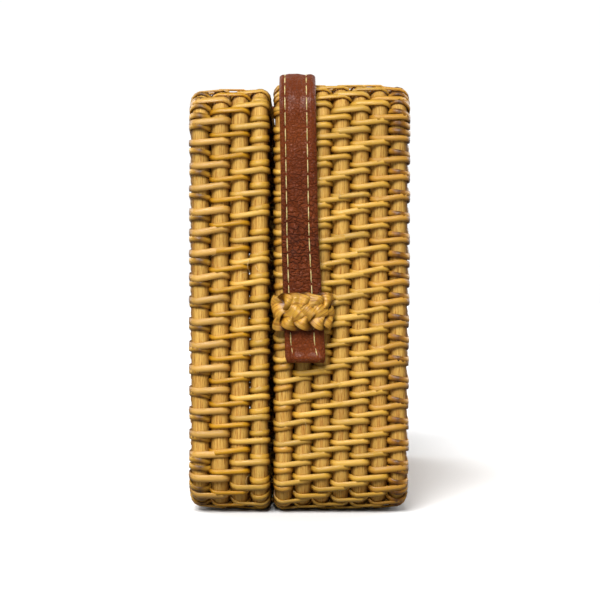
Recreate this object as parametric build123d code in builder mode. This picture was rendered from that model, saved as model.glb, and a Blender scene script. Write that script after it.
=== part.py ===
"""Woven rattan box bag: two shallow baskets hinged like a clamshell, with a sliding leather handle.

Millimetres. +Z up, X across the width, Y through the depth with the lid on the -Y side.
The origin is under the middle of the bag, on the surface that it stands on.
"""
import os

from build123d import *

# Rattan rods and the cane that lashes them together
rod_radius = 3.25
cane_thickness = 1.05  # one layer, on each side of a rod
rod_clearance = 0.05
lid_rod_gap = 0.85  # between neighbouring rods of the shallow half's walls
face_rod_gap = 0.85

# The two woven halves: rods laid side by side give them their depth and their height
width = 200.0  # outside, end wall to end wall
basket_wall_rods = 7
lid_wall_rods = 4
face_rods = 10  # rings inside the outermost one, down to the slit in the middle
lid_step = 1.6  # the shallow half is a little lower than the deep one
corner_round = 16.3  # outside corner of a wall, seen from the front
back_edge_round = 5.4  # where a wall turns into the flat face
rim_flat = 0.2  # left between the two rounds of a rim
inner_round = 2.0
seam_gap = 0.5  # between the two rims when the bag is shut

# Handle: one strap over the top, held to the end walls by raffia keepers
strap_width = 14.4
strap_thickness = 3.0
strap_clearance = 0.35
strap_corner_ease = 0.2  # the strap turns over the bag's corners a little wider than they are
strap_over_tab = 0.4  # how far it clears the closure tab at mid span
strap_crown_radius = 900.0
strap_end_height = 57.1  # lower end of the strap above the base
strap_end_thickness = 5.6  # the end is folded back on itself
strap_end_length = 4.6
keeper_height = 14.0
keeper_middle = 75.8
keeper_thickness = 2.2
keeper_foot = 3.6

# Cane hinge loops round the two bottom rim rods
loop_count = 3
loop_spacing = 62.0
loop_width = 10.0
loop_thickness = 0.5
loop_clearance = 0.05  # to the rod behind it
loop_side_clearance = 0.4

# Leather closure tab with a flat magnet
tab_width = 24.0
tab_thickness = 2.0
tab_rear_reach = 24.0  # behind the seam
tab_front_reach = 19.0  # ahead of the seam
tab_lift = 0.2
magnet_radius = 6.0
magnet_inset = 8.5  # from the tab's front edge
plate_thickness = 0.6
magnet_gap = 0.35

# What follows from them
wall = 2 * (rod_radius + cane_thickness)
rod_inset = wall / 2
rim_round = (wall - rim_flat) / 2
channel_radius = rod_radius + rod_clearance
loop_radius = channel_radius + loop_thickness
basket_rod_pitch = loop_radius + loop_clearance + rod_radius  # a hinge loop passes between two rods
lid_rod_pitch = 2 * rod_radius + lid_rod_gap
face_rod_pitch = 2 * rod_radius + face_rod_gap
basket_depth = wall + (basket_wall_rods - 1) * basket_rod_pitch
lid_depth = wall + (lid_wall_rods - 1) * lid_rod_pitch
basket_height = wall + (2 * face_rods + 1) * face_rod_pitch
lid_height = basket_height - lid_step
seam_y = (lid_depth - basket_depth) / 2
basket_rim_y = seam_y + seam_gap / 2
lid_rim_y = seam_y - seam_gap / 2
hinge_y = lid_rim_y - rod_inset
notch_width = loop_width + 2 * loop_side_clearance
loop_middles = [loop_spacing * (i - (loop_count - 1) / 2) for i in range(loop_count)]


def finish(piece, name):
    """Label one finished sub-part and write it as its own file."""
    piece.part.label = name
    export_step(piece.part, f"parts/{name}.step")


def flat_face(piece, y):
    """The flat face of a piece that stands square to Y at the given place."""
    flat = piece.faces().filter_by(Axis.Y)
    return min(flat, key=lambda face: abs(face.center().Y - y))


def rod_rings(height, rim_y, inward, wall_rods, wall_pitch):
    """Centrelines of one half's rods, as (name, y, half width, half height, corner) in order.

    The wall rods lie side by side from the rim back. The last of them is also the outermost
    ring of the flat face, and the face rods follow inside it.
    """
    half_width = width / 2 - rod_inset
    half_height = height / 2 - rod_inset
    corner = corner_round - rod_inset
    rings = []
    for i in range(wall_rods):
        y = rim_y + inward * (rod_inset + i * wall_pitch)
        rings.append((f"wall_rod_{i + 1}", y, half_width, half_height, corner))
    face_pitch = half_height / (face_rods + 0.5)
    face_y = rings[-1][1]
    for i in range(1, face_rods + 1):
        step = i * face_pitch
        ring_height = half_height - step
        ring_corner = min(ring_height - rod_clearance, max(corner - step, 2 * rod_radius))
        rings.append((f"face_rod_{i}", face_y, half_width - step, ring_height, ring_corner))
    return rings


def ring(radius, middle_z, y, half_width, half_height, corner):
    """A round bar of the given radius bent round one rounded rectangle."""
    with BuildPart() as bar:
        with BuildLine(Plane(origin=(0, y, middle_z), x_dir=(1, 0, 0), z_dir=(0, -1, 0))):
            quarter = FilletPolyline((0, half_height), (half_width, half_height), (half_width, 0),
                                     radius=corner)
        with BuildSketch(Plane(origin=quarter @ 0, z_dir=quarter % 0)):
            Circle(radius)
        sweep()
        mirror(about=Plane.YZ)
        mirror(about=Plane.XY.offset(middle_z))
    return bar


def woven_half(height, rim_y, inward, depth, rings):
    """The cane of one half: a tray open at its rim, with a channel for every rod."""
    outer_end = rim_y + inward * depth
    inner_end = outer_end - inward * wall
    rim_plane = Plane(origin=(0, rim_y, height / 2), x_dir=(1, 0, 0), z_dir=(0, inward, 0))
    inside = height - 2 * wall
    with BuildPart() as weave:
        with BuildSketch(rim_plane):
            RectangleRounded(width, height, corner_round)
        extrude(amount=depth)
        fillet(flat_face(weave, outer_end).edges(), back_edge_round)
        with BuildSketch(rim_plane):
            RectangleRounded(width - 2 * wall, inside, corner_round - wall)
        extrude(amount=depth - wall, mode=Mode.SUBTRACT)
        fillet(flat_face(weave, inner_end).edges(), inner_round)
        fillet(flat_face(weave, rim_y).edges(), rim_round)
        for _, y, half_width, half_height, corner in rings:
            add(ring(channel_radius, height / 2, y, half_width, half_height, corner).part,
                mode=Mode.SUBTRACT)
        # the lashing parts round each hinge loop, back to the middle of the second rod
        notch_end = rings[1][1]
        with BuildSketch(Plane(origin=(0, rim_y, 0), x_dir=(-inward, 0, 0), z_dir=(0, inward, 0))):
            with Locations([(x, wall / 2) for x in loop_middles]):
                Rectangle(notch_width, wall + inner_round)
        extrude(amount=abs(notch_end - rim_y), mode=Mode.SUBTRACT)
    return weave


os.makedirs("parts", exist_ok=True)

halves = {
    "basket": (basket_height, basket_rim_y, 1, basket_depth, basket_wall_rods, basket_rod_pitch),
    "lid": (lid_height, lid_rim_y, -1, lid_depth, lid_wall_rods, lid_rod_pitch),
}
for half, (height, rim_y, inward, depth, wall_rods, wall_pitch) in halves.items():
    rings = rod_rings(height, rim_y, inward, wall_rods, wall_pitch)
    finish(woven_half(height, rim_y, inward, depth, rings), f"{half}_weave")
    for name, y, half_width, half_height, corner in rings:
        finish(ring(rod_radius, height / 2, y, half_width, half_height, corner),
               f"{half}_{name}")

# Handle strap: a band on edge in the XZ plane, with its two ends folded into stops
strap_inner_x = width / 2 + strap_clearance
strap_x = strap_inner_x + strap_thickness / 2
strap_z = basket_height + strap_clearance + strap_thickness / 2
strap_rise = tab_lift + tab_thickness + strap_over_tab
strap_corner = corner_round + strap_thickness / 2 + strap_corner_ease
with BuildPart() as handle_strap:
    with BuildSketch(Plane.XZ.offset(-strap_width / 2)):
        with BuildLine():
            FilletPolyline((-strap_x, strap_end_height + strap_end_length / 2), (-strap_x, strap_z),
                           (0, strap_z + strap_rise), (strap_x, strap_z),
                           (strap_x, strap_end_height + strap_end_length / 2),
                           radius=[strap_corner, strap_crown_radius, strap_corner])
        trace(line_width=strap_thickness)
        with Locations([(side * (strap_inner_x + strap_end_thickness / 2),
                         strap_end_height + strap_end_length / 2) for side in (-1, 1)]):
            SlotOverall(strap_end_thickness, strap_end_length)
    extrude(amount=strap_width)
finish(handle_strap, "handle_strap")

# Raffia keepers: an arch over the strap on each end wall
slot_depth = strap_thickness + 2 * strap_clearance
slot_half = strap_width / 2 + strap_clearance
keeper_half = slot_half + keeper_foot
for side, name in ((1, "right"), (-1, "left")):
    wall_plane = Plane(origin=(side * width / 2, 0, keeper_middle - keeper_height / 2),
                       x_dir=(side, 0, 0), z_dir=(0, 0, 1))
    with BuildPart() as keeper:
        with BuildSketch(wall_plane):
            with BuildLine():
                Polyline((0, -keeper_half), (keeper_thickness, -keeper_half),
                         (slot_depth + keeper_thickness, -slot_half),
                         (slot_depth + keeper_thickness, slot_half), (keeper_thickness, keeper_half),
                         (0, keeper_half), close=True)
            make_face()
            with Locations((slot_depth / 2, 0)):
                Rectangle(slot_depth, 2 * slot_half, mode=Mode.SUBTRACT)
        extrude(amount=keeper_height)
        crown = keeper.edges().filter_by(Axis.Z).filter_by(
            lambda edge: abs(edge.center().X) > width / 2 + slot_depth)
        fillet(crown, keeper_thickness)
    finish(keeper, f"handle_keeper_{name}")

# Hinge loops: flat bands round both rim rods, in the gaps that the lashing leaves
rod_span = 2 * rod_inset + seam_gap
for i, x in enumerate(loop_middles, 1):
    loop_plane = Plane(origin=(x - loop_width / 2, seam_y, rod_inset), x_dir=(0, 1, 0), z_dir=(1, 0, 0))
    with BuildPart() as hinge_loop:
        with BuildSketch(loop_plane):
            SlotCenterToCenter(rod_span, 2 * loop_radius)
            SlotCenterToCenter(rod_span, 2 * channel_radius, mode=Mode.SUBTRACT)
        extrude(amount=loop_width)
    finish(hinge_loop, f"hinge_loop_{i}")

# Closure: a leather tab on the basket's top that reaches over the seam, with a magnet under its end
tab_bottom = basket_height + tab_lift
tab_length = tab_rear_reach + tab_front_reach
tab_middle = seam_y + (tab_rear_reach - tab_front_reach) / 2
with BuildPart() as closure_tab:
    with BuildSketch(Plane.XY.offset(tab_bottom)):
        with Locations((0, tab_middle)):
            RectangleRounded(tab_width, tab_length, tab_width / 2 - strap_clearance)
    extrude(amount=tab_thickness)
finish(closure_tab, "closure_tab")

magnet_y = seam_y - tab_front_reach + magnet_inset
plate_top = lid_height + plate_thickness
with BuildPart() as closure_plate:
    with BuildSketch(Plane.XY.offset(lid_height)):
        with Locations((0, magnet_y)):
            Circle(magnet_radius)
    extrude(amount=plate_thickness)
finish(closure_plate, "closure_plate")
with BuildPart() as closure_magnet:
    with BuildSketch(Plane.XY.offset(plate_top + magnet_gap)):
        with Locations((0, magnet_y)):
            Circle(magnet_radius)
    extrude(amount=tab_bottom - plate_top - magnet_gap)
finish(closure_magnet, "closure_magnet")
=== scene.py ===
import math
import random

import bpy
import numpy as np
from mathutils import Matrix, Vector


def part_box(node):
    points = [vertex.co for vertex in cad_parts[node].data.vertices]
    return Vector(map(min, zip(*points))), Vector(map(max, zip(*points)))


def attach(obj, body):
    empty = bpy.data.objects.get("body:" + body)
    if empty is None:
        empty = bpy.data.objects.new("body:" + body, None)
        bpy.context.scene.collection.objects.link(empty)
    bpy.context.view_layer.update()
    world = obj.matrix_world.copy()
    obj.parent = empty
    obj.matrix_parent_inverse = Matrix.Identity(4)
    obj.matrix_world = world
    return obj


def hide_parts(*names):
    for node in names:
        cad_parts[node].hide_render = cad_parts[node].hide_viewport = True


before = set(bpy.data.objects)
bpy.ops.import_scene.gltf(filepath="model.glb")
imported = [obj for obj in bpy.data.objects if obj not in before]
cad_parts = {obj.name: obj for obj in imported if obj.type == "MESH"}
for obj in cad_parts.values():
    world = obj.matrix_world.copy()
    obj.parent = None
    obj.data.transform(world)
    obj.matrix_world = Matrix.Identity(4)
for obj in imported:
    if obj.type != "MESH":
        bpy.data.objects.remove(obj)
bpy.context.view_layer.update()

mm = 0.001  # the pieces are worked out in millimetres and written in metres


def deselectAll():
    if bpy.context.object and bpy.context.object.mode != "OBJECT":
        bpy.ops.object.mode_set(mode="OBJECT")
    bpy.ops.object.select_all(action="DESELECT")


def nodeBox(node):
    low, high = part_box(node)
    return np.array(low) / mm, np.array(high) / mm


def readPoints(mesh):
    flat = np.empty(len(mesh.vertices) * 3)
    mesh.vertices.foreach_get("co", flat)
    return flat.reshape(-1, 3)


def writePoints(mesh, points):
    mesh.vertices.foreach_set("co", np.asarray(points, dtype=float).ravel())
    mesh.update()


def cleanMesh(piece, mergeDistance=1e-6):
    deselectAll()
    bpy.context.view_layer.objects.active = piece
    piece.select_set(True)
    bpy.ops.object.mode_set(mode="EDIT")
    bpy.ops.mesh.select_all(action="SELECT")
    bpy.ops.mesh.remove_doubles(threshold=mergeDistance)
    bpy.ops.mesh.normals_make_consistent(inside=False)
    bpy.ops.object.mode_set(mode="OBJECT")
    bpy.ops.object.shade_smooth()
    return piece


def shapedGrid(name, countU, countV, place, uvSize):
    # a plain grid whose corners are carried by place(u, v), with u and v from 0 to 1
    deselectAll()
    bpy.ops.mesh.primitive_grid_add(x_subdivisions=countU, y_subdivisions=countV, size=1, calc_uvs=True)
    piece = bpy.context.object
    piece.name = name
    mesh = piece.data
    flat = readPoints(mesh)
    writePoints(mesh, place(flat[:, 0] + 0.5, flat[:, 1] + 0.5) * mm)
    uv = mesh.uv_layers[0]
    uv.name = "strand"
    values = np.empty(len(mesh.loops) * 2)
    uv.data.foreach_get("uv", values)
    values = values.reshape(-1, 2) * np.array(uvSize)
    uv.data.foreach_set("uv", values.ravel())
    return cleanMesh(piece)


def joinPieces(pieces, name):
    deselectAll()
    for piece in pieces:
        piece.select_set(True)
    bpy.context.view_layer.objects.active = pieces[0]
    if len(pieces) > 1:
        bpy.ops.object.join()
    pieces[0].name = name
    pieces[0].data.name = name
    return pieces[0]


def paint(piece, colours):
    # one colour for each corner point, kept on the mesh for its material
    layer = piece.data.color_attributes.new(name="strandColour", type="FLOAT_COLOR", domain="POINT")
    full = np.ones((len(piece.data.vertices), 4))
    full[:, :3] = colours
    layer.data.foreach_set("color", full.ravel())


def darkened(colour, amount):
    # darker, and a little richer, as the shade deepens
    return np.clip(colour, 0, 1) ** (1 + 0.55 * amount) * (1 - 0.62 * amount)


def runLengths(points):
    # how far along a row of points each one lies
    return np.r_[0, np.cumsum(np.linalg.norm(np.diff(points, axis=0), axis=1))]


def followPath(path, steps, s):
    # where a flat path is after the length s, and its direction there
    place = [np.interp(s, steps, path[:, axis]) for axis in (0, 1)]
    heading = [np.interp(s, steps, np.gradient(path[:, axis], steps)) for axis in (0, 1)]
    return place, heading, np.hypot(*heading)


def smoothNoise(seed, count, s, total):
    # a sum of a few slow waves that closes on itself after the total length
    wave = random.Random(seed)
    value = np.zeros_like(s)
    for i in range(1, count + 1):
        value += wave.gauss(0, 1) / i ** 0.5 * np.sin(2 * math.pi * (i * s / total + wave.random()))
    return value / count ** 0.5


class Value:
    # a node's output, so that sums and products of masks read as plain arithmetic
    def __init__(self, shader, socket):
        self.shader = shader
        self.socket = socket

    def combine(self, operation, first, second):
        return self.shader.add("ShaderNodeMath", {"operation": operation}, {0: first, 1: second})

    def __add__(self, other):
        return self.combine("ADD", self, other)

    def __radd__(self, other):
        return self.combine("ADD", other, self)

    def __mul__(self, other):
        return self.combine("MULTIPLY", self, other)

    def __rmul__(self, other):
        return self.combine("MULTIPLY", other, self)


class Shader:
    def __init__(self, name, **surface):
        self.material = bpy.data.materials.new(name)
        self.material.use_nodes = True
        self.tree = self.material.node_tree
        self.surface = self.tree.nodes["Principled BSDF"]
        for socket, value in surface.items():
            self.surface.inputs[socket.replace("_", " ")].default_value = value

    def add(self, kind, settings=None, inputs=None, output=0):
        node = self.tree.nodes.new(kind)
        for key, value in (settings or {}).items():
            setattr(node, key, value)
        for key, value in (inputs or {}).items():
            self.put(node.inputs[key], value)
        return Value(self, node.outputs[output])

    def put(self, socket, value):
        if isinstance(value, Value):
            self.tree.links.new(value.socket, socket)
        else:
            socket.default_value = value

    def set(self, name, value):
        self.put(self.surface.inputs[name], value)

    def uvMap(self):
        return self.add("ShaderNodeUVMap", {"uv_map": "strand"})

    def objectPlace(self):
        return self.add("ShaderNodeTexCoord", output="Object")

    def scaled(self, vector, scale):
        return self.add("ShaderNodeVectorMath", {"operation": "MULTIPLY"}, {0: vector, 1: scale})

    def noise(self, vector, scale, detail=2.0, roughness=0.5, distortion=0.0, output="Fac"):
        return self.add("ShaderNodeTexNoise", None, {"Vector": vector, "Scale": scale, "Detail": detail,
                        "Roughness": roughness, "Distortion": distortion}, output)

    def mix(self, factor, first, second, blend="MIX"):
        return self.add("ShaderNodeMix", {"data_type": "RGBA", "blend_type": blend},
                        {0: factor, 6: first, 7: second}, 2)

    def ranged(self, value, fromLow, fromHigh, toLow, toHigh):
        return self.add("ShaderNodeMapRange", None,
                        {0: value, 1: fromLow, 2: fromHigh, 3: toLow, 4: toHigh})

    def bump(self, height, strength, distance):
        return self.add("ShaderNodeBump", None,
                        {"Height": height, "Strength": strength, "Distance": distance})

    def stained(self, amount, colour, stain):
        return self.mix(amount, colour, stain, "MULTIPLY")


def caneMaterial():
    # split cane: a hard, shiny skin with faint fibres along the strand
    shader = Shader("splitCane", IOR=1.5, Specular_IOR_Level=0.5)
    strand = shader.uvMap()
    colour = shader.add("ShaderNodeVertexColor", {"layer_name": "strandColour"})
    fibre = shader.noise(shader.scaled(strand, (0.12, 9.0, 1.0)), 1.0, 3.0, 0.6)
    patch = shader.noise(shader.scaled(strand, (0.22, 0.7, 1.0)), 1.0, 2.0)
    tinted = shader.stained(shader.ranged(fibre, 0.44, 0.70, 0.0, 0.62), colour, (0.55, 0.33, 0.12, 1))
    tinted = shader.mix(shader.ranged(patch, 0.52, 0.80, 0.0, 0.35), tinted, (1.0, 0.82, 0.45, 1),
                        "SOFT_LIGHT")
    shader.set("Base Color", tinted)
    shader.set("Roughness", shader.ranged(patch, 0.3, 0.7, 0.24, 0.40))
    shader.set("Normal", shader.bump(fibre, 0.5, 0.00018))
    return shader.material


def rodMaterial():
    # peeled rattan: dry and matte, with long open pores
    shader = Shader("rattanRod", IOR=1.45, Specular_IOR_Level=0.3)
    strand = shader.uvMap()
    colour = shader.add("ShaderNodeVertexColor", {"layer_name": "strandColour"})
    pores = shader.noise(shader.scaled(strand, (0.16, 2.7, 1.0)), 1.0, 4.0, 0.68)
    streak = shader.noise(shader.scaled(strand, (0.03, 0.8, 1.0)), 1.0, 2.0)
    fleck = shader.noise(shader.scaled(strand, (0.7, 2.4, 1.0)), 1.0, 2.0)
    tinted = shader.stained(shader.ranged(pores, 0.50, 0.63, 0.0, 1.0), colour, (0.54, 0.36, 0.16, 1))
    tinted = shader.stained(shader.ranged(streak, 0.46, 0.72, 0.0, 0.7), tinted, (0.66, 0.46, 0.26, 1))
    tinted = shader.mix(shader.ranged(fleck, 0.60, 0.80, 0.0, 0.4), tinted, (0.86, 0.62, 0.30, 1))
    shader.set("Base Color", tinted)
    shader.set("Roughness", shader.ranged(pores, 0.3, 0.7, 0.55, 0.75))
    shader.set("Normal", shader.bump(pores, 0.55, 0.00035))
    return shader.material


def leatherMaterial():
    # tumbled, finished hide: pebbles with creases between them, shinier on the high parts
    shader = Shader("strapLeather", IOR=1.5, Specular_IOR_Level=0.16, Coat_Roughness=0.16)
    place = shader.objectPlace()
    warp = shader.noise(place, 300.0, 2.0, output="Color")
    bent = shader.add("ShaderNodeVectorMath", {"operation": "MULTIPLY_ADD"},
                      {0: warp, 1: (0.0012, 0.0012, 0.0012), 2: place})
    cell = shader.add("ShaderNodeTexVoronoi", {"feature": "DISTANCE_TO_EDGE"},
                      {"Vector": bent, "Scale": 900.0})
    crease = shader.ranged(cell, 0.0, 0.14, 0.0, 1.0)
    fine = shader.noise(place, 3600.0, 2.0, 0.6)
    # long soft folds that run across the strap, broken up by creases
    wrinkle = shader.noise(shader.scaled(bent, (1.0, 0.8, 1.7)), 260.0, 4.0, 0.6, 0.8)
    broad = shader.add("ShaderNodeVectorMath", {"operation": "MULTIPLY_ADD"},
                       {0: warp, 1: (0.003, 0.003, 0.003), 2: place})
    plate = shader.add("ShaderNodeTexVoronoi", {"feature": "DISTANCE_TO_EDGE"},
                       {"Vector": shader.scaled(broad, (1.0, 0.75, 1.35)), "Scale": 420.0})
    fold = shader.ranged(plate, 0.0, 0.16, 0.0, 1.0)
    # the folds are deepest, and rubbed glossy, just above the keeper
    upright = shader.add("ShaderNodeSeparateXYZ", None, {"Vector": place}, "Z")
    folded = shader.ranged(upright, 0.076, 0.098, 0.0, 1.0) * shader.ranged(upright, 0.104, 0.140, 1.0, 0.0)
    height = crease * 0.45 + fine * 0.08 + wrinkle * (folded * 1.4 + 0.9) + fold * (folded * 1.5 + 0.12)
    tone = shader.noise(place, 60.0, 2.0)
    colour = shader.mix(shader.ranged(tone, 0.35, 0.7, 0.0, 1.0),
                        (0.155, 0.030, 0.006, 1), (0.215, 0.046, 0.009, 1))
    # painted shade: the creases between the pebbles are darker
    colour = shader.mix(shader.ranged(crease, 0.0, 0.8, 0.28, 0.0), colour, (0.085, 0.016, 0.006, 1))
    # painted shade: the deep folds above the keeper are darker
    colour = shader.mix(shader.ranged(fold, 0.0, 0.7, 0.5, 0.0) * folded, colour, (0.045, 0.008, 0.003, 1))
    shader.set("Base Color", colour)
    shader.set("Roughness", shader.ranged(wrinkle, 0.35, 0.65, 0.44, 0.27))
    shader.set("Coat Weight", shader.ranged(wrinkle, 0.42, 0.66, 0.1, 0.9) * (folded * 0.85 + 0.12))
    shader.set("Normal", shader.bump(height, 0.85, 0.0006))
    return shader.material


def raffiaMaterial():
    # folded palm strip: smooth, golden, with lengthwise veins
    shader = Shader("raffiaStrip", IOR=1.5, Specular_IOR_Level=0.45)
    strand = shader.uvMap()
    colour = shader.add("ShaderNodeVertexColor", {"layer_name": "strandColour"})
    vein = shader.noise(shader.scaled(strand, (0.12, 3.0, 1.0)), 1.0, 3.0, 0.65)
    tinted = shader.stained(shader.ranged(vein, 0.46, 0.62, 0.0, 0.85), colour, (0.52, 0.33, 0.12, 1))
    shader.set("Base Color", tinted)
    shader.set("Roughness", shader.ranged(vein, 0.3, 0.7, 0.22, 0.40))
    shader.set("Normal", shader.bump(vein, 0.9, 0.00045))
    return shader.material


def threadMaterial():
    shader = Shader("waxedThread", IOR=1.5, Roughness=0.5)
    place = shader.objectPlace()
    twist = shader.noise(place, 1400.0, 2.0)
    shader.set("Base Color", shader.mix(shader.ranged(twist, 0.35, 0.7, 0.0, 1.0),
                                        (0.52, 0.38, 0.11, 1), (0.86, 0.74, 0.36, 1)))
    shader.set("Normal", shader.bump(twist, 0.4, 0.0001))
    return shader.material


def steelMaterial():
    shader = Shader("brushedNickel", Metallic=1.0)
    place = shader.objectPlace()
    brush = shader.noise(shader.scaled(place, (60.0, 4000.0, 200.0)), 1.0, 3.0)
    shader.set("Base Color", shader.mix(brush, (0.50, 0.47, 0.42, 1), (0.68, 0.65, 0.60, 1)))
    shader.set("Roughness", shader.ranged(brush, 0.2, 0.8, 0.25, 0.42))
    shader.set("Normal", shader.bump(brush, 0.2, 0.00005))
    return shader.material


def floorMaterial():
    shader = Shader("paleFloor", Roughness=0.9)
    place = shader.objectPlace()
    grain = shader.noise(place, 30.0, 2.0)
    pale = shader.mix(grain, (0.95, 0.95, 0.95, 1), (0.97, 0.97, 0.97, 1))
    seen = shader.add("ShaderNodeLightPath", output="Is Camera Ray")
    shader.set("Base Color", shader.mix(seen, (0.22, 0.21, 0.20, 1), pale))
    return shader.material


weave = {
    "outerCorner": 12.0,  # centreline of the wall rods
    "innerCorner": 6.2,
    "caneWidth": 2.45,
    "caneThickness": 1.05,
    "crownFlatness": 0.4,  # smaller is flatter
    "rodGap": 0.12,  # the rods are pressed together until they nearly touch
    "rowSpacing": 7.0,  # about one rod to the next
    "basketPitch": 7.7,  # one stitch to the next along a rod
    "lidPitch": 8.25,
    "basketSlope": 0.22,
    "lidSlope": 0.17,
    "ringInset": 0.55,
    "rimEase": 0.10,
    "rimTight": 0.93,
    "cornerInset": 0.8,
    "cornerStep": 2.5,  # closer stitches where the rings turn
    "wobble": 0.16,
    "basketTaper": 2.0,  # deeper at the top than at the bottom
    "diveShade": 1.15,
    "edgeShade": 0.26,
    "rodShade": 1.15,
    "loopHalfWidth": 5.6,
    "loopHeight": 8.0,
    "loopTurns": 4,
    "loopEase": 0.16,
    "loopThickness": 0.5,
}

caneColours = {
    "pale": (0.76, 0.465, 0.085),
    "honey": (0.63, 0.335, 0.044),
    "amber": (0.66, 0.345, 0.012),
    "tan": (0.69, 0.405, 0.092),
    "straw": (0.71, 0.420, 0.060),
}
rodColours = {"basket": (0.66, 0.395, 0.088), "lid": (0.72, 0.435, 0.098)}


def ringLengths(ring):
    side = 2 * (ring["halfHeight"] - ring["corner"])
    top = 2 * (ring["halfWidth"] - ring["corner"])
    arc = math.pi * ring["corner"] / 2
    return side, top, arc


def ringTotal(ring):
    side, top, arc = ringLengths(ring)
    return 2 * side + 2 * top + 4 * arc


def ringPoint(ring, s):
    # s runs up the right side from its middle, over the top, down the left and back underneath
    side, top, arc = ringLengths(ring)
    corner, w, h = ring["corner"], ring["halfWidth"], ring["halfHeight"]
    s = np.mod(np.asarray(s, dtype=float) + side / 2, ringTotal(ring))
    x, z = np.zeros_like(s), np.zeros_like(s)
    tx, tz = np.zeros_like(s), np.zeros_like(s)
    start = 0.0
    for turn, length in enumerate((side, top, side, top)):
        along = (math.cos(math.pi / 2 * (turn + 1)), math.sin(math.pi / 2 * (turn + 1)))
        out = (along[1], -along[0])
        reachOut = w if turn % 2 == 0 else h
        here = (s >= start) & (s <= start + length)
        t = s[here] - start - length / 2
        x[here] = out[0] * reachOut + along[0] * t
        z[here] = out[1] * reachOut + along[1] * t
        tx[here], tz[here] = along
        start += length
        here = (s > start) & (s < start + arc)
        angle = (s[here] - start) / corner
        centreX = out[0] * (reachOut - corner) + along[0] * length / 2
        centreZ = out[1] * (reachOut - corner) + along[1] * length / 2
        nx = out[0] * np.cos(angle) + along[0] * np.sin(angle)
        nz = out[1] * np.cos(angle) + along[1] * np.sin(angle)
        x[here] = centreX + corner * nx
        z[here] = centreZ + corner * nz
        tx[here], tz[here] = -nz, nx
        start += arc
    return np.stack([x, z], -1), np.stack([tx, tz], -1)


def fromOutside(ring, share):
    # places that lie evenly on the outside of the bend, as lengths along the rod's middle
    side, top, arc = ringLengths(ring)
    outerArc = math.pi / 2 * (ring["corner"] + ring["radius"])
    stretches = [side / 2, arc, top, arc, side, arc, top, arc, side / 2]
    outside = [side / 2, outerArc, top, outerArc, side, outerArc, top, outerArc, side / 2]
    total = sum(outside)
    return np.interp(np.mod(share, 1) * total, np.r_[0, np.cumsum(outside)], np.r_[0, np.cumsum(stretches)])


def ontoRing(ring, points):
    # the nearest place on a ring, for points close to it
    inner = np.array([ring["halfWidth"] - ring["corner"], ring["halfHeight"] - ring["corner"]])
    core = np.clip(points, -inner, inner)
    away = points - core
    length = np.linalg.norm(away, axis=-1, keepdims=True)
    away = np.where(length < 1e-6, np.sign(points) * np.array([0, 1]), away / np.maximum(length, 1e-6))
    return core + away * ring["corner"]


def outToRing(ring, points, direction):
    # where straight lines that start inside a ring meet it
    inner = np.array([ring["halfWidth"] - ring["corner"], ring["halfHeight"] - ring["corner"]])
    near, far = np.zeros(len(points)), np.full(len(points), 40.0)
    for _ in range(30):
        reach = (near + far) / 2
        beyond = np.maximum(np.abs(points + direction * reach[:, None]) - inner, 0)
        inside = np.linalg.norm(beyond, axis=1) < ring["corner"]
        near, far = np.where(inside, reach, near), np.where(inside, far, reach)
    return points + direction * near[:, None]


def halfRings(half):
    # each rod's centreline in order: from the rim back along the walls, then into the face
    names = [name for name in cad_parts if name.startswith(half)]
    wallNames = sorted((n for n in names if "_wall_rod_" in n), key=lambda n: int(n.split("_")[-1]))
    faceNames = sorted((n for n in names if "_face_rod_" in n), key=lambda n: int(n.split("_")[-1]))
    rings = []
    for name in wallNames + faceNames:
        low, high = nodeBox(name)
        radius = (high[1] - low[1]) / 2
        halfWidth = (high[0] - low[0]) / 2 - radius
        halfHeight = (high[2] - low[2]) / 2 - radius
        rings.append({"node": name, "halfWidth": halfWidth, "halfHeight": halfHeight,
                      "middle": (high[2] + low[2]) / 2, "y": (high[1] + low[1]) / 2, "radius": radius})
    step = rings[len(wallNames)]["halfHeight"] - rings[len(wallNames) + 1]["halfHeight"]
    pressed = (min(step, abs(rings[0]["y"] - rings[1]["y"])) - weave["rodGap"]) / 2
    # thicker rods on the same outside size: every ring lies a little further in
    closer = 1 - weave["ringInset"] / rings[0]["halfHeight"]
    rimRing = rings[0]
    for i, ring in enumerate(rings):
        if ring is not rimRing:
            ring["halfHeight"] *= closer
            ring["halfWidth"] *= closer
        depth = max(0, i - len(wallNames) + 1)
        ring["corner"] = min(ring["halfHeight"] - 0.05,
                             max(weave["outerCorner"] - depth * step, weave["innerCorner"]))
    edge = rings[len(wallNames) - 1]
    edge["halfWidth"] -= weave["cornerInset"]
    edge["halfHeight"] -= weave["cornerInset"]
    edge["corner"] -= weave["cornerInset"]
    for i, ring in enumerate(rings):
        ring["seed"] = i * 7 + (1 if half == "basket" else 500)
        # a rim rod turns in the hinge loops, so it keeps its true place, straight and slim
        ring["wobble"] = 0.0 if ring is rimRing else weave["wobble"]
        ring["radius"] = ring["radius"] + weave["rimEase"] if ring is rimRing else pressed
    return rings[:len(wallNames)], rings[len(wallNames) - 1:]


def ringPlace(ring, s):
    # centreline in space with its small irregularities; also the tangent
    flat, tangent = ringPoint(ring, s)
    total = ringTotal(ring)
    outward = np.stack([tangent[:, 1], -tangent[:, 0]], -1)
    wave = ring["wobble"]
    flat = flat + outward * (smoothNoise(ring["seed"], 9, s, total) * wave)[:, None]
    y = ring["y"] + smoothNoise(ring["seed"] + 3, 9, s, total) * wave
    points = np.stack([flat[:, 0], y, flat[:, 1] + ring["middle"]], -1)
    along = np.stack([tangent[:, 0], np.zeros(len(flat)), tangent[:, 1]], -1)
    return points, along


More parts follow.
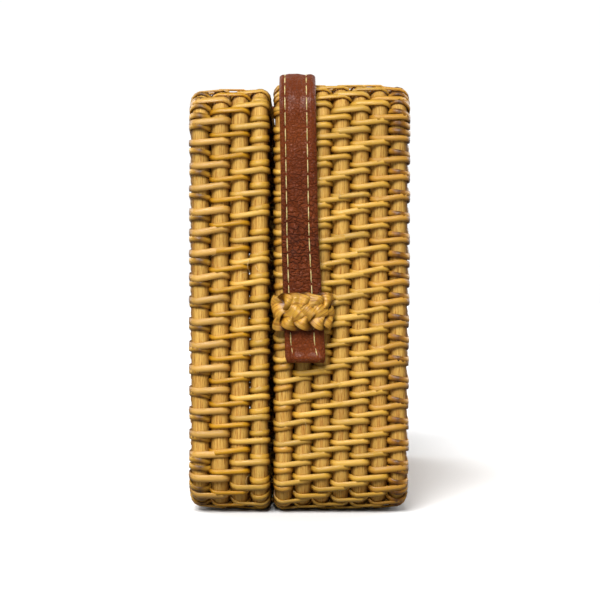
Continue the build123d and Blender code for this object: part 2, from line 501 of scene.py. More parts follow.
halves = {}
for halfName in ("basket", "lid"):
    boxLow, boxHigh = nodeBox(halfName + "_weave")
    walls, face = halfRings(halfName)
    halves[halfName] = {"walls": walls, "face": face, "low": boxLow, "high": boxHigh,
                        "inward": 1 if halfName == "basket" else -1,
                        "rimY": boxLow[1] if halfName == "basket" else boxHigh[1],
                        "pitch": weave[halfName + "Pitch"], "slope": weave[halfName + "Slope"]}
loopMiddles = [float(nodeBox(name)[0][0] + nodeBox(name)[1][0]) / 2
               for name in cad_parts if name.startswith("hinge_loop")]


def settle(half, points):
    # the whole basket is a little deeper at its top
    if half != "basket":
        return points
    data = halves["basket"]
    middle = (data["low"][2] + data["high"][2]) / 2
    lean = (points[..., 2] - middle) / (data["high"][2] - data["low"][2])
    depth = (points[..., 1] - data["rimY"]) / (data["high"][1] - data["low"][1])
    moved = points.copy()
    moved[..., 1] += weave["basketTaper"] * lean * np.clip(depth, 0, 1) * 0.5
    return moved


def makeRod(half, ring, name):
    total = ringTotal(ring)
    count = max(48, int(total / 5))
    radius = ring["radius"]
    sides = 14

    def place(u, v):
        s = u * total
        centre, along = ringPlace(ring, s)
        out = np.cross(np.array([0.0, 1.0, 0.0]), along)
        angle = v * 2 * math.pi
        local = radius * (1 + 0.012 * smoothNoise(ring["seed"] + 5, 12, s, total))
        # a peeled rod isn't quite round: shallow flats that wander along it
        local = local * (1 - 0.018 * np.cos(3 * angle + 4 * np.sin(2 * math.pi * s / total)))
        return settle(half, centre + out * (local * np.cos(angle))[:, None]
                      + np.array([0.0, 1.0, 0.0]) * (local * np.sin(angle))[:, None])

    rod = shapedGrid(name, count, sides, place, (total, 2 * math.pi * radius))
    points = readPoints(rod.data) / mm
    s = points[:, 2]
    shade = 1 + 0.07 * np.sin(s / 23 + ring["seed"]) + 0.05 * np.sin(s / 7.3 + ring["seed"] * 2)
    # painted shade: the sides that face the next rod are darker than the side that faces out
    facing = np.clip(np.abs(points[:, 1] - ring["y"]) / radius, 0, 1)
    rodGapShade = facing ** 3 if "_wall_" in ring["node"] else (1 - facing) ** 1.5
    paint(rod, darkened(np.array(rodColours[half]) * shade[:, None], weave["rodShade"] * rodGapShade[:, None]))
    return rod


def stitchTemplate(rodRadius, thickness=weave["caneThickness"]):
    # one closed turn of cane round two rods, as a torus whose halves are told apart later
    deselectAll()
    turnRadius = (rodRadius + thickness / 2) * 1.015
    bpy.ops.mesh.primitive_torus_add(major_segments=14, minor_segments=6, major_radius=turnRadius * mm,
                                     minor_radius=thickness / 2 * mm, generate_uvs=True)
    template = bpy.context.object
    deselectAll()
    points = readPoints(template.data) / mm
    width = weave["caneWidth"] / thickness
    across, out, side = points[:, 0], points[:, 1], points[:, 2] * width
    radial = np.hypot(across, out)
    # flatter underneath than on top, as a split half of a round cane is
    under = radial < turnRadius
    crown = thickness / 2
    proud = crown * np.clip((radial - turnRadius) / crown, 1e-6, 1) ** weave["crownFlatness"]
    factor = np.where(under, turnRadius - 0.55 * (turnRadius - radial), turnRadius + proud) / radial
    across, out = across * factor, out * factor
    faces = np.array([list(poly.vertices) for poly in template.data.polygons])
    angle = np.arctan2(out, across)
    around = np.arctan2(side, radial - turnRadius)
    bpy.data.objects.remove(template, do_unlink=True)
    return {"across": across, "out": out, "side": side, "angle": angle, "around": around, "faces": faces,
            "faceCount": len(faces), "radius": turnRadius}


def makeStitches(half, name, template, turns):
    # each row of turns says where its two rods are, which way is along, out and across, and how it is laid;
    # a row that doesn't give its width or its tightness has them plain
    kinds = ("first", "second", "along", "out", "across", "slope", "colour", "width", "tight")
    first, second, along, out, across, slope, colour, wide, tight = (
        np.concatenate([turn.get(kind, np.ones(len(turn["first"]))) for turn in turns]) for kind in kinds)
    count = len(first)
    chance = np.random.default_rng(11 if half == "basket" else 12)
    onSecond = (template["across"] > 0).astype(float)
    span = np.linalg.norm(second - first, axis=1)
    lean = slope * span / 2
    direction = np.where(onSecond > 0, 1.0, -1.0) * np.sin(template["angle"])
    wide = wide * (1 + chance.normal(0, 0.06, count))
    pulled = 1 + chance.normal(0, 0.012, count)
    single = span < 1.0  # a turn round one rod only
    tight = np.where(single, pulled * 0.95, pulled) * tight
    shift = lean[:, None] * direction[None, :]
    turned = chance.normal(0, 0.10, count) + np.where(single, slope * 2.0, 0)
    turned = turned[:, None] * template["across"][None, :]
    lengthwise = template["side"][None, :] * wide[:, None] + shift + turned * 0.3
    points = (first[:, None, :] * (1 - onSecond)[None, :, None]
              + second[:, None, :] * onSecond[None, :, None]
              + across[:, None, :] * (template["across"][None, :] * tight[:, None])[..., None]
              + out[:, None, :] * (template["out"][None, :] * tight[:, None])[..., None]
              + along[:, None, :] * lengthwise[..., None])
    points = settle(half, points.reshape(-1, 3))
    perTurn = len(template["across"])
    faces = (template["faces"][None] + (np.arange(count) * perTurn)[:, None, None]).reshape(-1, 4)
    mesh = bpy.data.meshes.new(name)
    mesh.from_pydata((points * mm).tolist(), [], faces.tolist())
    piece = bpy.data.objects.new(name, mesh)
    bpy.context.collection.objects.link(piece)
    uv = mesh.uv_layers.new(name="strand")
    turnAngle = np.unwrap(template["angle"][template["faces"]], axis=1) * template["radius"]
    roundAngle = np.unwrap(template["around"][template["faces"]], axis=1) * weave["caneWidth"] / 2
    offset = chance.uniform(0, 400, (count, 1, 1))
    u = turnAngle[None] + offset + onSecond[template["faces"]][None] * span[:, None, None]
    v = np.broadcast_to(roundAngle[None], u.shape) + offset * 0.37
    uv.data.foreach_set("uv", np.stack([u, v], -1).ravel())
    mesh.polygons.foreach_set("use_smooth", [True] * len(mesh.polygons))
    tone = 1 + chance.normal(0, 0.07, (count, 1, 1))
    # painted shade: a strand is darker where it dives between the rods and along its edges
    dive = np.abs(np.cos(template["angle"])) ** 6
    edge = (np.abs(template["side"]) / template["side"].max()) ** 3
    depth = weave["diveShade"] * dive + weave["edgeShade"] * edge
    paint(piece, darkened(colour[:, None, :] * tone, depth[None, :, None]).reshape(-1, 3))
    cleanMesh(piece, 1e-7)
    return piece


def columnColour(half, index, count):
    # each row of lashing is one long strand with its own tint
    if half == "lid":
        named = {-1: "straw", 0: "tan", 1: "amber", 2: "pale", 3: "straw"}
    else:
        named = {-1: "honey", 0: "pale", 1: "straw", 2: "straw",
                 3: "pale", 4: "straw", 5: "honey", 6: "honey"}
    base = np.array(caneColours[named.get(index, ("straw", "pale", "honey")[index % 3])])
    return np.tile(base, (count, 1))


def columnWidth(half, index):
    # the strands weren't split alike: broad and matte, or narrow and round
    if half == "lid":
        return {0: 1.18, 1: 0.84, 2: 0.98, 3: 1.10}.get(index, 0.96)
    return {-1: 1.0, 0: 0.92, 1: 1.0, 2: 0.93, 3: 1.02, 4: 0.95}.get(index, 0.98)


def keepClear(points, rowsFromRim):
    # the lashing leaves room for the hinge loops
    clear = np.ones(len(points), dtype=bool)
    if rowsFromRim > 1:
        return clear
    for middle in loopMiddles:
        near = (np.abs(points[:, 0] - middle) < weave["loopHalfWidth"]) & (points[:, 2] < weave["loopHeight"])
        clear &= ~near
    return clear


def wallTurns(half):
    data = halves[half]
    rings = sorted(data["walls"], key=lambda ring: ring["y"])
    count = len(rings)
    edge = rings[0] if half == "lid" else rings[-1]
    whole = round((ringTotal(edge) + 2 * math.pi * edge["radius"]) / data["pitch"])
    chance = np.random.default_rng(3 if half == "basket" else 4)
    turns = []
    rows = list(range(-1, count - 1)) if half == "basket" else list(range(0, count))
    for row in rows:
        firstRing = rings[max(row, 0)]
        secondRing = rings[min(row + 1, count - 1)]
        share = (np.arange(whole) + row / 3) / whole
        share = share + chance.normal(0, 0.05, whole) / whole
        first, along = ringPlace(firstRing, fromOutside(firstRing, share))
        second, _ = ringPlace(secondRing, fromOutside(secondRing, share))
        out = np.cross(np.array([0.0, 1.0, 0.0]), along)
        across = np.tile([0.0, 1.0, 0.0], (whole, 1))
        # the strands climb most halfway up and lie level near the corners
        level = np.clip((first[:, 2] - data["low"][2]) / (data["high"][2] - data["low"][2]), 0, 1)
        slope = data["slope"] * (0.25 + 0.75 * np.sin(math.pi * level)) + chance.normal(0, 0.035, whole)
        nearer = min(abs(ring["y"] - data["rimY"]) for ring in (firstRing, secondRing))
        rowsFromRim = nearer / weave["rowSpacing"] - 0.5
        keep = keepClear(first, rowsFromRim)
        colour = columnColour(half, row, whole)
        turns.append({key: value[keep] for key, value in
                      {"first": first, "second": second, "along": along, "out": out, "across": across,
                       "slope": slope, "colour": colour,
                       "width": np.full(whole, columnWidth(half, row)),
                       "tight": np.full(whole, weave["rimTight"] if rowsFromRim < 0.5 else 1.0)}.items()})
    return turns


def faceStations(outermost, middleRing, pitch, phase):
    # straight stretches keep the walls' rhythm; each corner is filled evenly between them
    side, top, arc = ringLengths(outermost)
    outerTotal = ringTotal(outermost)
    outerMiddles = [0, side / 2 + arc + top / 2, side + top + 2 * arc, side * 1.5 + 1.5 * top + 3 * arc]
    side, top, arc = ringLengths(middleRing)
    innerMiddles = [0, side / 2 + arc + top / 2, side + top + 2 * arc, side * 1.5 + 1.5 * top + 3 * arc]
    whole = round(outerTotal / pitch)
    step = outerTotal / whole
    stations = []
    for outer, inner, length in zip(outerMiddles, innerMiddles, (side, top, side, top)):
        n = np.arange(math.ceil((outer - length / 2) / step - phase),
                      math.floor((outer + length / 2) / step - phase) + 1)
        stations.extend(inner + (n + phase) * step - outer)
    stations = sorted(stations)
    filled = []
    total = ringTotal(middleRing)
    for i, station in enumerate(stations):
        following = stations[(i + 1) % len(stations)] + (total if i + 1 == len(stations) else 0)
        roundCorner = following - station > step * 1.02
        parts = max(1, round((following - station) / (weave["cornerStep"] if roundCorner else step)))
        filled.extend(station + (following - station) * k / parts for k in range(parts))
    return np.array(filled)


def faceTurns(half):
    data = halves[half]
    rings = data["face"]
    outward = np.array([0.0, float(data["inward"]), 0.0])
    chance = np.random.default_rng(5 if half == "basket" else 6)
    wallCount = len(data["walls"])
    turns = []
    for k in range(len(rings) - 1):
        outer, inner = rings[k], rings[k + 1]
        middle = {key: (outer[key] + inner[key]) / 2 for key in ("halfWidth", "halfHeight", "corner")}
        row = wallCount - 1 + k if half == "basket" else -1 - k
        s = faceStations(rings[0], middle, data["pitch"], row / 3)
        s = s + chance.normal(0, 0.2, len(s))
        flat, _ = ringPoint(middle, s)
        # each stitch lies square to the inner rod, so at the corners they fan out
        innerSpot = ontoRing(inner, flat)
        ray = flat - innerSpot
        outerSpot = outToRing(outer, flat, ray / np.linalg.norm(ray, axis=1, keepdims=True))
        first, second = (np.stack([spot[:, 0], np.full(len(s), ring["y"]), spot[:, 1] + ring["middle"]], -1)
                         for ring, spot in ((outer, outerSpot), (inner, innerSpot)))
        across = second - first
        across /= np.linalg.norm(across, axis=1, keepdims=True)
        out = np.tile(outward, (len(s), 1))
        along = np.cross(out, across)
        slope = data["slope"] + chance.normal(0, 0.04, len(s))
        colour = columnColour(half, row if k == 0 else k + 10, len(s))
        turns.append({"first": first, "second": second, "along": along, "out": out, "across": across,
                      "slope": slope, "colour": colour, "width": np.full(len(s), columnWidth(half, row))})
    last = rings[-1]
    reach = last["halfWidth"] - last["corner"]
    x = np.arange(-reach, reach + 0.1, data["pitch"])
    first = np.stack([x, np.full(len(x), last["y"]),
                      np.full(len(x), last["middle"] + last["halfHeight"])], -1)
    second = first - np.array([0, 0, 2 * last["halfHeight"]])
    across = np.tile([0.0, 0.0, -1.0], (len(x), 1))
    out = np.tile(outward, (len(x), 1))
    turns.append({"first": first, "second": second, "along": np.cross(out, across), "out": out,
                  "across": across, "slope": np.full(len(x), data["slope"]),
                  "colour": columnColour(half, 21, len(x))})
    return turns


def makeHingeLoops(cane):
    firstRing, secondRing = halves["lid"]["walls"][0], halves["basket"]["walls"][0]  # the two rim rods
    template = stitchTemplate(firstRing["radius"] + weave["loopEase"], weave["loopThickness"])
    for number, middle in enumerate(loopMiddles, 1):
        count = weave["loopTurns"]
        x = middle + (np.arange(count) - (count - 1) / 2) * weave["caneWidth"] * 1.03
        first, second = (np.stack([x, np.full(count, ring["y"]),
                                   np.full(count, ring["middle"] - ring["halfHeight"])], -1)
                         for ring in (firstRing, secondRing))
        loop = makeStitches("hinge", "hingeLoop" + str(number), template, [{
            "first": first, "second": second, "along": np.tile([1.0, 0.0, 0.0], (count, 1)),
            "out": np.tile([0.0, 0.0, -1.0], (count, 1)), "across": np.tile([0.0, 1.0, 0.0], (count, 1)),
            "slope": np.full(count, 0.02), "colour": np.tile(caneColours["honey"], (count, 1))}])
        loop.data.materials.append(cane)
        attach(loop, "basket")
        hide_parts("hinge_loop_" + str(number))


def makeBasketry():
    template = stitchTemplate(halves["basket"]["walls"][0]["radius"])
    cane = caneMaterial()
    rodFinish = rodMaterial()
    for half in ("basket", "lid"):
        wallPiece = makeStitches(half, half + "WallLashing", template, wallTurns(half))
        facePiece = makeStitches(half, half + "FaceLashing", template, faceTurns(half))
        for piece in (wallPiece, facePiece):
            piece.data.materials.append(cane)
            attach(piece, half)
            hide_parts(half + "_weave")
        for ring in halves[half]["walls"] + halves[half]["face"][1:]:
            rod = makeRod(half, ring, ring["node"].replace("_", "-"))
            rod.data.materials.append(rodFinish)
            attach(rod, half)
            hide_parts(ring["node"])
        print("woven", half, len(wallPiece.data.polygons), len(facePiece.data.polygons))
    makeHingeLoops(cane)


strap = {
    "width": 14.4,
    "thickness": 2.6,
    "clearance": 0.35,
    "halfDepth": 1.5,  # from its middle line to the outside, as the frame has it
    "corner": 17.5,
    "rows": (-5.0, 3.5),  # the two rows of stitching, across from the middle
    "pad": 0.75,
    "grooveDepth": 0.45,
    "grooveWidth": 0.42,
    "crownFlat": 0.7,  # how much of the padding goes where the strap crosses the top
    "swell": 0.7,  # where the keeper pinches the strap it stands out above
    "swellHeight": 91.0,
    "swellLength": 9.0,
    "foldLength": 3.6,
    "foldLift": 0.8,
    "foldSwell": 0.55,
    "stitchPitch": 5.7,
    "stitchStart": 0.05,
    "stitchEnd": 0.90,
    "threadRadius": 0.23,
    "lean": [(0.0, 2.4), (0.23, 1.2), (0.42, 0.3), (0.9, -0.62), (1.0, -0.7)],  # up the strap, and sideways
    "widthTop": 0.94,
    "widthEnd": 1.04,
}


def strapPath():
    low, high = nodeBox("handle_strap")
    wall = halves["basket"]["high"][0]
    away = strap["clearance"] + strap["halfDepth"]
    sideX = wall + away
    crownZ = high[2] - strap["halfDepth"]
    shoulderZ = halves["basket"]["high"][2] + away
    return {"sideX": sideX, "endZ": low[2], "crownZ": crownZ, "shoulderZ": shoulderZ}


def strapCentre(count=400):
    # the strap's middle line from the left end over the top to the right end
    path = strapPath()
    corner = strap["corner"]
    rise = path["shoulderZ"] - corner - path["endZ"]
    left, top = [], []
    for t in np.linspace(0, 1, 90, endpoint=False):
        left.append((-path["sideX"], path["endZ"] + rise * t))
    for t in np.linspace(0, math.pi / 2, 40, endpoint=False):
        left.append((-path["sideX"] + corner * (1 - math.cos(t)),
                     path["shoulderZ"] - corner + corner * math.sin(t)))
    reach = path["sideX"] - corner
    for t in np.linspace(-1, 1, 160, endpoint=False):
        crown = (math.cos(math.pi * t) + 1) / 2
        top.append((reach * t, path["shoulderZ"] + (path["crownZ"] - path["shoulderZ"]) * crown))
    points = np.array(left + top + [(-x, z) for x, z in reversed(left)])
    steps = runLengths(points)
    even = np.linspace(0, steps[-1], count)
    centre = np.stack([np.interp(even, steps, points[:, 0]), np.interp(even, steps, points[:, 1])], -1)
    return centre, steps[-1]


def ontoStrap(centre, length, s, across, height):
    # carries flat strap coordinates onto its path; height is measured away from the bag
    (x, z), (tx, tz), norm = followPath(centre, np.linspace(0, length, len(centre)), s)
    nx, nz = -tz / norm, tx / norm
    path = strapPath()
    part = np.clip((z - path["endZ"]) / (path["crownZ"] - path["endZ"]), 0, 1)
    lean = np.interp(part, *zip(*strap["lean"]))
    height = height + strap["swell"] * np.exp(-((z - strap["swellHeight"]) / strap["swellLength"]) ** 2)
    narrowing = (strap["widthTop"] - strap["widthEnd"]) * np.clip(part * 2, 0, 1)
    across = across * (strap["widthEnd"] + narrowing)
    # past either end the strap goes straight on
    over = np.where(s > length, s - length, np.where(s < 0, s, 0))
    return np.stack([x + nx * height + over * tx, lean + across, z + nz * height + over * tz], -1)


def strapSection(v):
    # one turn round the strap's section, as (across, height), from the inner face
    half = strap["width"] / 2
    angle = 2 * math.pi * v - math.pi / 2
    power = 0.32
    across = half * np.sign(np.cos(angle)) * np.abs(np.cos(angle)) ** power
    height = strap["thickness"] / 2 * np.sign(np.sin(angle)) * np.abs(np.sin(angle)) ** 0.75
    outer = height > 0
    left, right = strap["rows"]
    middle, reach = (left + right) / 2, (right - left) / 2 - 0.3
    pad = strap["pad"] * np.clip(1 - ((across - middle) / reach) ** 2, 0, 1) ** 0.5

    def ridge(place, width):
        return np.exp(-((across - place) / width) ** 2)

    rolls = 0.35 * ridge(1.2 - half, 0.7) + 0.45 * ridge(half - 1.9, 1.1)
    grooves = strap["grooveDepth"] * (ridge(left, strap["grooveWidth"]) + ridge(right, strap["grooveWidth"]))
    return across, height, np.where(outer, pad + rolls - grooves, 0)


def foldedEnd(ends):
    # the end is folded back and sewn: how far into the fold, and how much thicker
    fold = np.clip(1 - ends / strap["foldLength"], 0, 1)
    return fold * strap["foldLift"], 1 + strap["foldSwell"] * fold ** 0.5


def makeStrap():
    leather = leatherMaterial()
    thread = threadMaterial()
    centre, length = strapCentre()

    def place(u, v):
        s = u * length
        across, height, relief = strapSection(v)
        ends = np.minimum(s, length - s)
        height = height + relief * (1 - strap["crownFlat"] * np.clip((ends - 84) / 22, 0, 1))
        fold, swell = foldedEnd(ends)
        narrow = 1 - 0.10 * np.clip(1 - ends / 2.5, 0, 1) ** 2  # its corners are rounded
        close = np.clip(ends / 1.4, 0, 1) ** 0.5
        wrinkle = 0.10 * np.sin(s * 1.9 + across * 0.8) * np.exp(-(across / 4.5) ** 2) * (height > 0)
        wrinkle += 0.06 * np.sin(s * 0.83 - across * 1.3 + 1)
        height = (height * swell + wrinkle) * np.maximum(close, 0.02)
        return ontoStrap(centre, length, s, across * narrow, height + fold)

    band = shapedGrid("handleStrap", 380, 60, place, (length, 2 * strap["width"]))
    band.data.materials.append(leather)
    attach(band, "handle")
    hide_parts("handle_strap")

    # two rows of stitching, sunk in their grooves, that drift to one side at the ends
    count = int(length / strap["stitchPitch"])
    threads = []
    for row in strap["rows"]:
        for k in range(count):
            s0 = (k + strap["stitchStart"]) * length / count
            s1 = (k + strap["stitchEnd"]) * length / count

            def placeThread(u, v, s0=s0, s1=s1, row=row):
                s = s0 + (s1 - s0) * u
                angle = v * 2 * math.pi
                ends = np.minimum(s, length - s)
                drift = 1.5 * np.clip(1 - ends / 8.0, 0, 1) ** 1.6
                thick = strap["threadRadius"] * np.sin(math.pi * np.clip(u, 0.03, 0.97)) ** 0.3
                across = row + drift
                sink = -0.30 * (2 * u - 1) ** 4
                top = strap["thickness"] / 2 * 0.93 + sink + 0.02
                fold, swell = foldedEnd(ends)
                return ontoStrap(centre, length, s, across + thick * np.cos(angle),
                                 top * swell + fold + thick * np.sin(angle))

            threads.append(shapedGrid("thread", 6, 6, placeThread, (5, 2)))
    sewing = joinPieces(threads, "handleStitching")
    sewing.data.materials.append(thread)
    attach(sewing, "handle")
    print("strap", round(length), "mm,", len(threads), "stitches")
    return leather, thread


tab = {
    "edgeRadius": 0.55,
    "stitchInset": 2.2,
    "stitchPitch": 3.6,
    "threadRadius": 0.22,
    "dip": 0.25,
}


def tabOutline(low, high, inset, count):
    # evenly spaced places round a long tab with rounded ends
    halfX = (high[0] - low[0]) / 2 - inset
    halfY = (high[1] - low[1]) / 2 - inset
    outline = {"halfWidth": halfX, "halfHeight": halfY, "corner": halfX - 0.35}
    places, _ = ringPoint(outline, np.linspace(0, ringTotal(outline), count, endpoint=False))
    return places + (low[:2] + high[:2]) / 2


def makeClosureTab(leather, thread):
    low, high = nodeBox("closure_tab")
    deselectAll()
    bpy.ops.mesh.primitive_circle_add(vertices=96, radius=1, fill_type="NGON")
    leaf = bpy.context.object
    leaf.name = "closureTab"
    edge = tabOutline(low, high, 0.0, 96)
    writePoints(leaf.data, np.c_[edge, np.full(96, high[2])] * mm)
    # rings of faces from the edge inwards, then the thickness and a softened edge
    bpy.ops.object.mode_set(mode="EDIT")
    bpy.ops.mesh.select_all(action="SELECT")
    for width in (0.8, 1.0, 0.5, 1.2, 2.5, 3.0):
        bpy.ops.mesh.inset(thickness=width * mm)
    bpy.ops.object.mode_set(mode="OBJECT")
    points = readPoints(leaf.data) / mm
    inside = tabOutline(low, high, tab["stitchInset"], 400)
    away = np.min(np.linalg.norm(points[:, None, :2] - inside[None], axis=2), axis=1)
    points[:, 2] -= tab["dip"] * np.exp(-(away / 0.5) ** 2)
    writePoints(leaf.data, points * mm)
    solid = leaf.modifiers.new("thickness", "SOLIDIFY")
    solid.thickness = (high[2] - low[2]) * mm
    solid.offset = -1
    soften = leaf.modifiers.new("edges", "BEVEL")
    soften.width = tab["edgeRadius"] * mm
    soften.segments = 3
    soften.limit_method = "ANGLE"
    for modifier in list(leaf.modifiers):
        bpy.ops.object.modifier_apply(modifier=modifier.name)
    cleanMesh(leaf)
    leaf.data.materials.append(leather)
    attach(leaf, "basket")
    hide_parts("closure_tab")

    outline = tabOutline(low, high, tab["stitchInset"], 720)
    outline = np.vstack([outline, outline[:1]])
    steps = runLengths(outline)
    count = round(steps[-1] / tab["stitchPitch"])
    threads = []
    for k in range(count):
        def placeThread(u, v, k=k):
            s = (k + 0.1 + 0.74 * u) * steps[-1] / count
            (x, y), (gx, gy), norm = followPath(outline, steps, s)
            angle = v * 2 * math.pi
            thick = tab["threadRadius"] * np.sin(math.pi * np.clip(u, 0.03, 0.97)) ** 0.3
            z = high[2] - 0.12 - 0.25 * (2 * u - 1) ** 4
            return np.stack([x + gy / norm * thick * np.cos(angle), y - gx / norm * thick * np.cos(angle),
                             z + thick * np.sin(angle)], -1)

        threads.append(shapedGrid("thread", 6, 6, placeThread, (4, 2)))
    sewing = joinPieces(threads, "tabStitching")
    sewing.data.materials.append(thread)
    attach(sewing, "basket")
    print("closure tab,", count, "stitches")


fibres = {
    "radius": 0.11,
    "colour": (0.74, 0.53, 0.22),
    # place on the wall as height and distance from the seam, length, direction, and how far it lifts
    "hairs": [(97.0, -20.5, 5.2, 215, 1.6), (95.5, -7.5, 6.0, 250, 2.0), (93.0, -5.6, 4.4, 300, 1.6),
              (90.5, -8.8, 7.5, 205, 2.4), (15.5, -8.0, 4.6, 240, 1.8), (96.0, 31.0, 5.0, 60, 1.8),
              (118.0, 24.5, 3.6, 70, 1.5), (33.0, 12.5, 4.2, 100, 1.6)],
}


def makeFibres():
    wall = halves["basket"]["high"][0]
    for half in ("basket", "lid"):
        hairs = []
        for z, fromSeam, length, heading, lift in fibres["hairs"]:
            if (fromSeam > 0) != (half == "basket"):
                continue
            turn = math.radians(heading)

            def place(u, v, z=z, fromSeam=fromSeam, length=length, turn=turn, lift=lift):
                angle = v * 2 * math.pi
                thick = fibres["radius"] * np.clip(1.15 - u, 0.15, 1)
                bend = turn + 0.9 * (u - 0.5)
                y = halves[half]["rimY"] + fromSeam + length * u * np.cos(bend)
                up = z + length * u * np.sin(bend)
                out = wall - 0.9 + lift * np.sin(math.pi * np.clip(u, 0, 1) * 0.8)
                return np.stack([out + thick * np.cos(angle),
                                 y + thick * np.sin(angle) * abs(math.sin(turn)),
                                 up + thick * np.sin(angle) * abs(math.cos(turn))], -1)

            hairs.append(shapedGrid("hair", 14, 5, place, (length, 1)))
        piece = joinPieces(hairs, half + "LooseFibres")
        paint(piece, np.tile(fibres["colour"], (len(piece.data.vertices), 1)))
        piece.data.materials.append(bpy.data.materials["splitCane"])
        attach(piece, half)


plait = {
    "strands": 4,
    "stripWidth": 5.7,
    "stripThickness": 0.45,
    "spread": 4.3,
    "weaveDepth": 1.25,
    "turn": 21.0,
    "archOut": 5.25,
    "footLow": -8.8,
    "footHigh": 11.6,
    "colour": (0.64, 0.345, 0.046),
    "unevenness": 0.42,
}


def keeperPath():
    # the arch in plan, from the seam side over the strap, as (y, distance out from the wall)
    out, low, high = plait["archOut"], plait["footLow"], plait["footHigh"]
    outline = [(low, 0.4), (low + 0.6, 2.2), (low + 2.2, 4.0), (low + 4.6, out),
               ((low + high) / 2, out + 0.5),
               (high - 3.8, out), (high - 1.8, 4.2), (high - 0.6, 2.2), (high, 0.4)]
    points = np.array(outline)
    steps = runLengths(points)
    even = np.linspace(0, steps[-1], 120)
    path = np.stack([np.interp(even, steps, points[:, 0]), np.interp(even, steps, points[:, 1])], -1)
    for _ in range(60):
        path[1:-1] = (path[:-2] + 2 * path[1:-1] + path[2:]) / 4
    steps = runLengths(path)
    return path, steps


def makeKeeper(side, node, raffia):
    low, high = nodeBox(node)
    middleZ = (low[2] + high[2]) / 2
    wall = side * halves["basket"]["high"][0]
    path, steps = keeperPath()
    length = steps[-1]
    strips = []
    for strand in range(plait["strands"]):
        phase = strand * 2 * math.pi / plait["strands"] + (0.4 if side > 0 else 1.3)
        wander = plait["unevenness"]

        def place(u, v, phase=phase, seed=strand * 5 + side * 40):
            t = u * length
            theta = 2 * math.pi * t / plait["turn"] + phase + 0.35 * smoothNoise(seed, 4, t, length)
            rise = plait["spread"] * np.sin(theta) + wander * smoothNoise(seed + 1, 7, t, length)
            # each strip passes over one and under the next
            deep = plait["weaveDepth"] * np.cos((plait["strands"] - 1) * theta)  # for an even count
            deep += 0.5 * wander * smoothNoise(seed + 2, 9, t, length)
            slopeZ = plait["spread"] * np.cos(theta) * 2 * math.pi / plait["turn"]
            norm = np.hypot(1, slopeZ)
            half = plait["stripWidth"] / 2 * (1 + 0.4 * wander * smoothNoise(seed + 3, 8, t, length))
            angle = v * 2 * math.pi
            flat = half * np.sign(np.cos(angle)) * np.abs(np.cos(angle)) ** 0.6
            bulge = plait["stripThickness"] / 2 * np.sin(angle) + 0.34 * np.cos(flat / half * math.pi / 2)
            # each strip is folded from a wider leaf, which leaves ridges along it
            bulge += 0.16 * np.abs(np.sin(flat * 1.5 + 2 * smoothNoise(seed + 4, 5, t, length)))
            # the strip lies across its own course, with a lengthwise crease
            tt = t - flat * slopeZ / norm
            zz = rise + flat / norm
            (y, out), (gy, go), g = followPath(path, steps, tt)
            lift = deep + bulge
            return np.stack([wall + side * (out + gy / g * lift), y - go / g * lift, middleZ + zz], -1)

        strip = shapedGrid("strip", 110, 16, place, (length * 1.4, 10))
        points = readPoints(strip.data) / mm
        shade = 1 + 0.10 * np.sin(points[:, 1] * 1.3 + strand * 2) + 0.06 * np.sin(points[:, 2] * 2.1)
        # painted shade: a strip is darker where it lies deep, under the others
        lift = side * (points[:, 0] - wall) - np.interp(points[:, 1], path[:, 0], path[:, 1])
        buriedShade = np.clip((1.2 - lift) / 1.5, 0, 1)
        paint(strip, darkened(np.array(plait["colour"]) * shade[:, None], 1.25 * buriedShade[:, None]))
        strips.append(strip)
    keeper = joinPieces(strips, "keeperRight" if side > 0 else "keeperLeft")
    keeper.data.materials.append(raffia)
    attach(keeper, "basket")
    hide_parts(node)


stage = {
    "cameraDistance": 480.0,  # from the near end wall
    "frameWidth": 600,
    "viewScale": 0.37,  # of the near wall, at that width
    "sensorWidth": 36,
    "cameraHeight": 80.2,
    "surround": 0.16,
    "backdrop": 1.02,
    "keyFrom": (0.80, -0.22, 0.86),
    "keyStrength": 3.75,
    "keySoftness": 32.0,
    "gleamPower": 2.4,
    "gleamPlace": (1.15, -0.35, 0.62),
    "gleamAim": (0, 0, 0.08),
    "gleamSize": 0.35,
    "fillFrom": (-0.62, 0.72, 0.45),  # and the same from the other side
    "fillStrength": 1.5,
    "fillSoftness": 50.0,
    "cameraSide": 0.3,
}


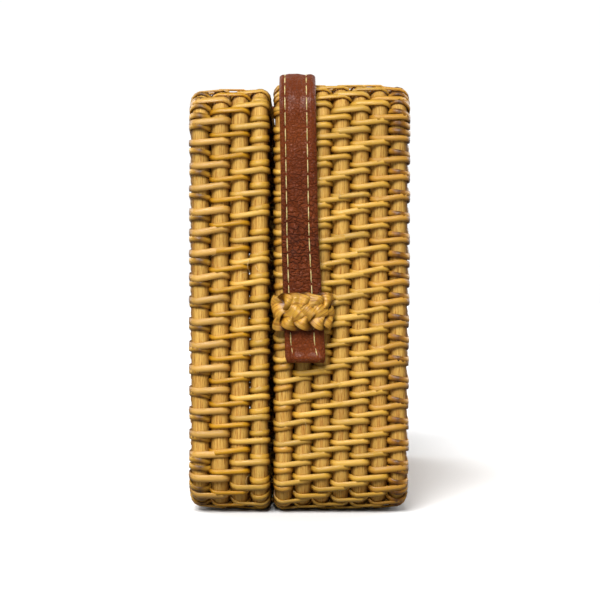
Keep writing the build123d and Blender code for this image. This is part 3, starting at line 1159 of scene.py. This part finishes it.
def makeStage():
    deselectAll()
    bpy.ops.mesh.primitive_plane_add(size=60.0, location=(0, 0, 0))
    floor = bpy.context.object
    floor.name = "floor"
    floor.data.materials.append(floorMaterial())
    world = bpy.data.worlds.new("paleStudio")
    world.use_nodes = True
    tree = world.node_tree
    surround = tree.nodes["Background"]
    white = (1.0, 1.0, 1.0, 1)
    surround.inputs["Color"].default_value = white
    surround.inputs["Strength"].default_value = stage["surround"]
    # the backdrop itself is plain white, brighter than the light it gives
    backdrop = tree.nodes.new("ShaderNodeBackground")
    backdrop.inputs["Color"].default_value = white
    backdrop.inputs["Strength"].default_value = stage["backdrop"]
    sight = tree.nodes.new("ShaderNodeLightPath")
    both = tree.nodes.new("ShaderNodeMixShader")
    tree.links.new(sight.outputs["Is Camera Ray"], both.inputs[0])
    tree.links.new(surround.outputs[0], both.inputs[1])
    tree.links.new(backdrop.outputs[0], both.inputs[2])
    tree.links.new(both.outputs[0], tree.nodes["World Output"].inputs["Surface"])
    bpy.context.scene.world = world
    deselectAll()
    bpy.ops.object.light_add(type="SUN", location=(0, 0, 2))
    key = bpy.context.object
    key.name = "key"
    key.data.energy = stage["keyStrength"]
    key.data.angle = math.radians(stage["keySoftness"])
    key.rotation_euler = (-Vector(stage["keyFrom"])).to_track_quat("-Z", "Y").to_euler()
    for side in (-1, 1):
        bpy.ops.object.light_add(type="SUN", location=(0, 0, 2))
        fill = bpy.context.object
        fill.name = "fillFront" if side < 0 else "fillBack"
        fill.data.energy = stage["fillStrength"]
        fill.data.angle = math.radians(stage["fillSoftness"])
        alongX, alongY, up = stage["fillFrom"]
        fill.rotation_euler = (-Vector((alongX, side * alongY, up))).to_track_quat("-Z", "Y").to_euler()
    bpy.ops.object.light_add(type="AREA", location=stage["gleamPlace"])
    gleam = bpy.context.object
    gleam.name = "gleam"
    gleam.data.size = stage["gleamSize"]
    gleam.data.energy = stage["gleamPower"]
    gleam.rotation_euler = (Vector(stage["gleamAim"]) - gleam.location).to_track_quat("-Z", "Y").to_euler()
    scene = bpy.context.scene
    scene.view_settings.view_transform = "Standard"
    wall = halves["basket"]["high"][0]
    distance = stage["cameraDistance"]
    stand = (wall + distance, stage["cameraSide"], stage["cameraHeight"])
    bpy.ops.object.camera_add(location=[place * mm for place in stand],
                              rotation=(math.pi / 2, 0, math.pi / 2))
    camera = bpy.context.object
    camera.name = "camera"
    camera.data.sensor_width = stage["sensorWidth"]
    camera.data.lens = stage["sensorWidth"] * distance / (stage["frameWidth"] * stage["viewScale"])
    camera.data.clip_end = 20
    scene.camera = camera
    print("stage")


makeStage()
makeBasketry()
strapFinish, threadFinish = makeStrap()
makeClosureTab(strapFinish, threadFinish)
makeFibres()
raffiaFinish = raffiaMaterial()
makeKeeper(1, "handle_keeper_right", raffiaFinish)
makeKeeper(-1, "handle_keeper_left", raffiaFinish)

steel = steelMaterial()
for name in ("closure_plate", "closure_magnet"):
    nodeObject = bpy.data.objects[name]
    nodeObject.data.materials.clear()
    nodeObject.data.materials.append(steel)
